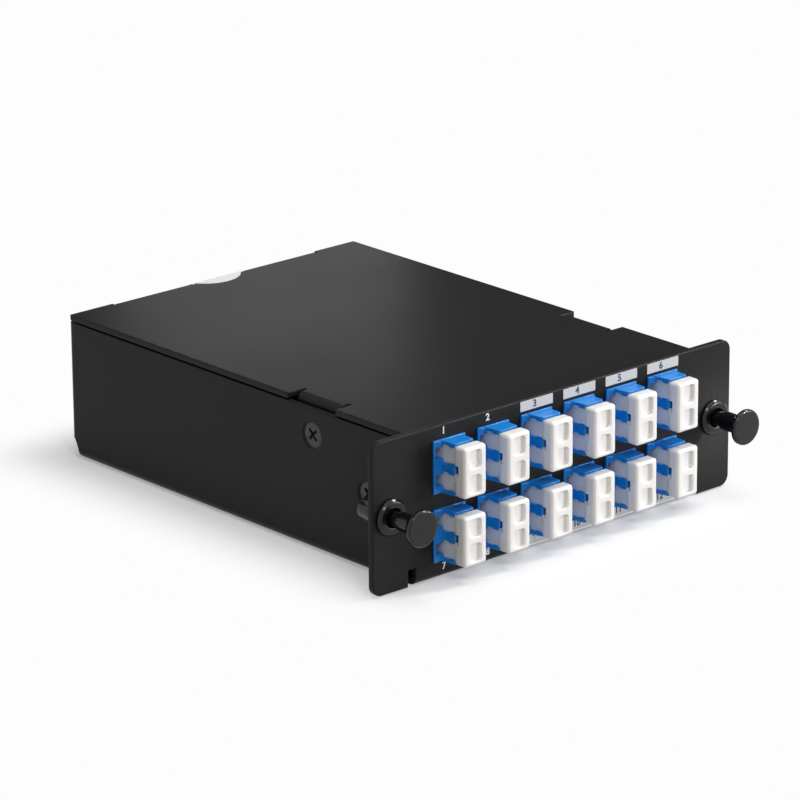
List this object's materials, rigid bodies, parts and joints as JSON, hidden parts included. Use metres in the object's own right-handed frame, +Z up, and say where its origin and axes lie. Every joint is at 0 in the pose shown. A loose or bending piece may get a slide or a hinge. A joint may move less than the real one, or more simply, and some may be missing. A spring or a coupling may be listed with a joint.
{
  "type": "dwdm mux demux module",
  "caption": "Flat black steel fibre module with panel ears, push latches, two rows of blue duplex adapters and white dust caps.",
  "frame": {"origin": "middle of the tray's flat underside", "axes": "+Z up, -Y out of the front panel with its ports, X along the panel"},
  "size_m": [0.109, 0.1302, 0.0355],
  "materials": {
    "case_paint": "fine matt powder coat",
    "black_screw": "black oxide, satin",
    "adapter_blue": "moulded, semi-gloss",
    "cap_white": "moulded, soft satin",
    "latch_black": "moulded nylon, semi-gloss",
    "spring_steel": "rolled, bare",
    "filter_glass": "polished",
    "comb_plastic": "moulded, matt",
    "seal_paper": "plain coated paper"
  },
  "bodies": {
    "case": {"base_tray": "case_paint", "cover": "case_paint", "side_screws": "black_screw", "front_bracket_left": "case_paint", "front_bracket_right": "case_paint", "adapter_01": "adapter_blue", "adapter_02": "adapter_blue", "adapter_03": "adapter_blue", "adapter_04": "adapter_blue", "adapter_05": "adapter_blue", "adapter_06": "adapter_blue", "adapter_07": "adapter_blue", "adapter_08": "adapter_blue", "adapter_09": "adapter_blue", "adapter_10": "adapter_blue", "adapter_11": "adapter_blue", "adapter_12": "adapter_blue", "adapter_clips": "spring_steel", "latch_grommet_left": "latch_black", "latch_grommet_right": "latch_black", "thin_film_filters": "filter_glass", "filter_comb_front": "comb_plastic", "filter_comb_rear": "comb_plastic", "fibre_guides": "comb_plastic", "seal_label": "seal_paper"},
    "dust_cap_01": {"dust_cap_01": "cap_white"},
    "dust_cap_02": {"dust_cap_02": "cap_white"},
    "dust_cap_03": {"dust_cap_03": "cap_white"},
    "dust_cap_04": {"dust_cap_04": "cap_white"},
    "dust_cap_05": {"dust_cap_05": "cap_white"},
    "dust_cap_06": {"dust_cap_06": "cap_white"},
    "dust_cap_07": {"dust_cap_07": "cap_white"},
    "dust_cap_08": {"dust_cap_08": "cap_white"},
    "dust_cap_09": {"dust_cap_09": "cap_white"},
    "dust_cap_10": {"dust_cap_10": "cap_white"},
    "dust_cap_11": {"dust_cap_11": "cap_white"},
    "dust_cap_12": {"dust_cap_12": "cap_white"},
    "latch_plunger_left": {"latch_plunger_left": "latch_black"},
    "latch_plunger_right": {"latch_plunger_right": "latch_black"}
  },
  "joints": [
    {"name": "dust_cap_01_pull", "type": "slide", "parent": "case", "child": "dust_cap_01", "axis": [0, -1, 0], "range_m": [0, 0.012]},
    {"name": "dust_cap_02_pull", "type": "slide", "parent": "case", "child": "dust_cap_02", "axis": [0, -1, 0], "range_m": [0, 0.012]},
    {"name": "dust_cap_03_pull", "type": "slide", "parent": "case", "child": "dust_cap_03", "axis": [0, -1, 0], "range_m": [0, 0.012]},
    {"name": "dust_cap_04_pull", "type": "slide", "parent": "case", "child": "dust_cap_04", "axis": [0, -1, 0], "range_m": [0, 0.012]},
    {"name": "dust_cap_05_pull", "type": "slide", "parent": "case", "child": "dust_cap_05", "axis": [0, -1, 0], "range_m": [0, 0.012]},
    {"name": "dust_cap_06_pull", "type": "slide", "parent": "case", "child": "dust_cap_06", "axis": [0, -1, 0], "range_m": [0, 0.012]},
    {"name": "dust_cap_07_pull", "type": "slide", "parent": "case", "child": "dust_cap_07", "axis": [0, -1, 0], "range_m": [0, 0.012]},
    {"name": "dust_cap_08_pull", "type": "slide", "parent": "case", "child": "dust_cap_08", "axis": [0, -1, 0], "range_m": [0, 0.012]},
    {"name": "dust_cap_09_pull", "type": "slide", "parent": "case", "child": "dust_cap_09", "axis": [0, -1, 0], "range_m": [0, 0.012]},
    {"name": "dust_cap_10_pull", "type": "slide", "parent": "case", "child": "dust_cap_10", "axis": [0, -1, 0], "range_m": [0, 0.012]},
    {"name": "dust_cap_11_pull", "type": "slide", "parent": "case", "child": "dust_cap_11", "axis": [0, -1, 0], "range_m": [0, 0.012]},
    {"name": "dust_cap_12_pull", "type": "slide", "parent": "case", "child": "dust_cap_12", "axis": [0, -1, 0], "range_m": [0, 0.012]},
    {"name": "latch_plunger_left_push", "type": "slide", "parent": "case", "child": "latch_plunger_left", "axis": [0, 1, 0], "range_m": [0, 0.0045]},
    {"name": "latch_plunger_right_push", "type": "slide", "parent": "case", "child": "latch_plunger_right", "axis": [0, 1, 0], "range_m": [0, 0.0045]}
  ]
}
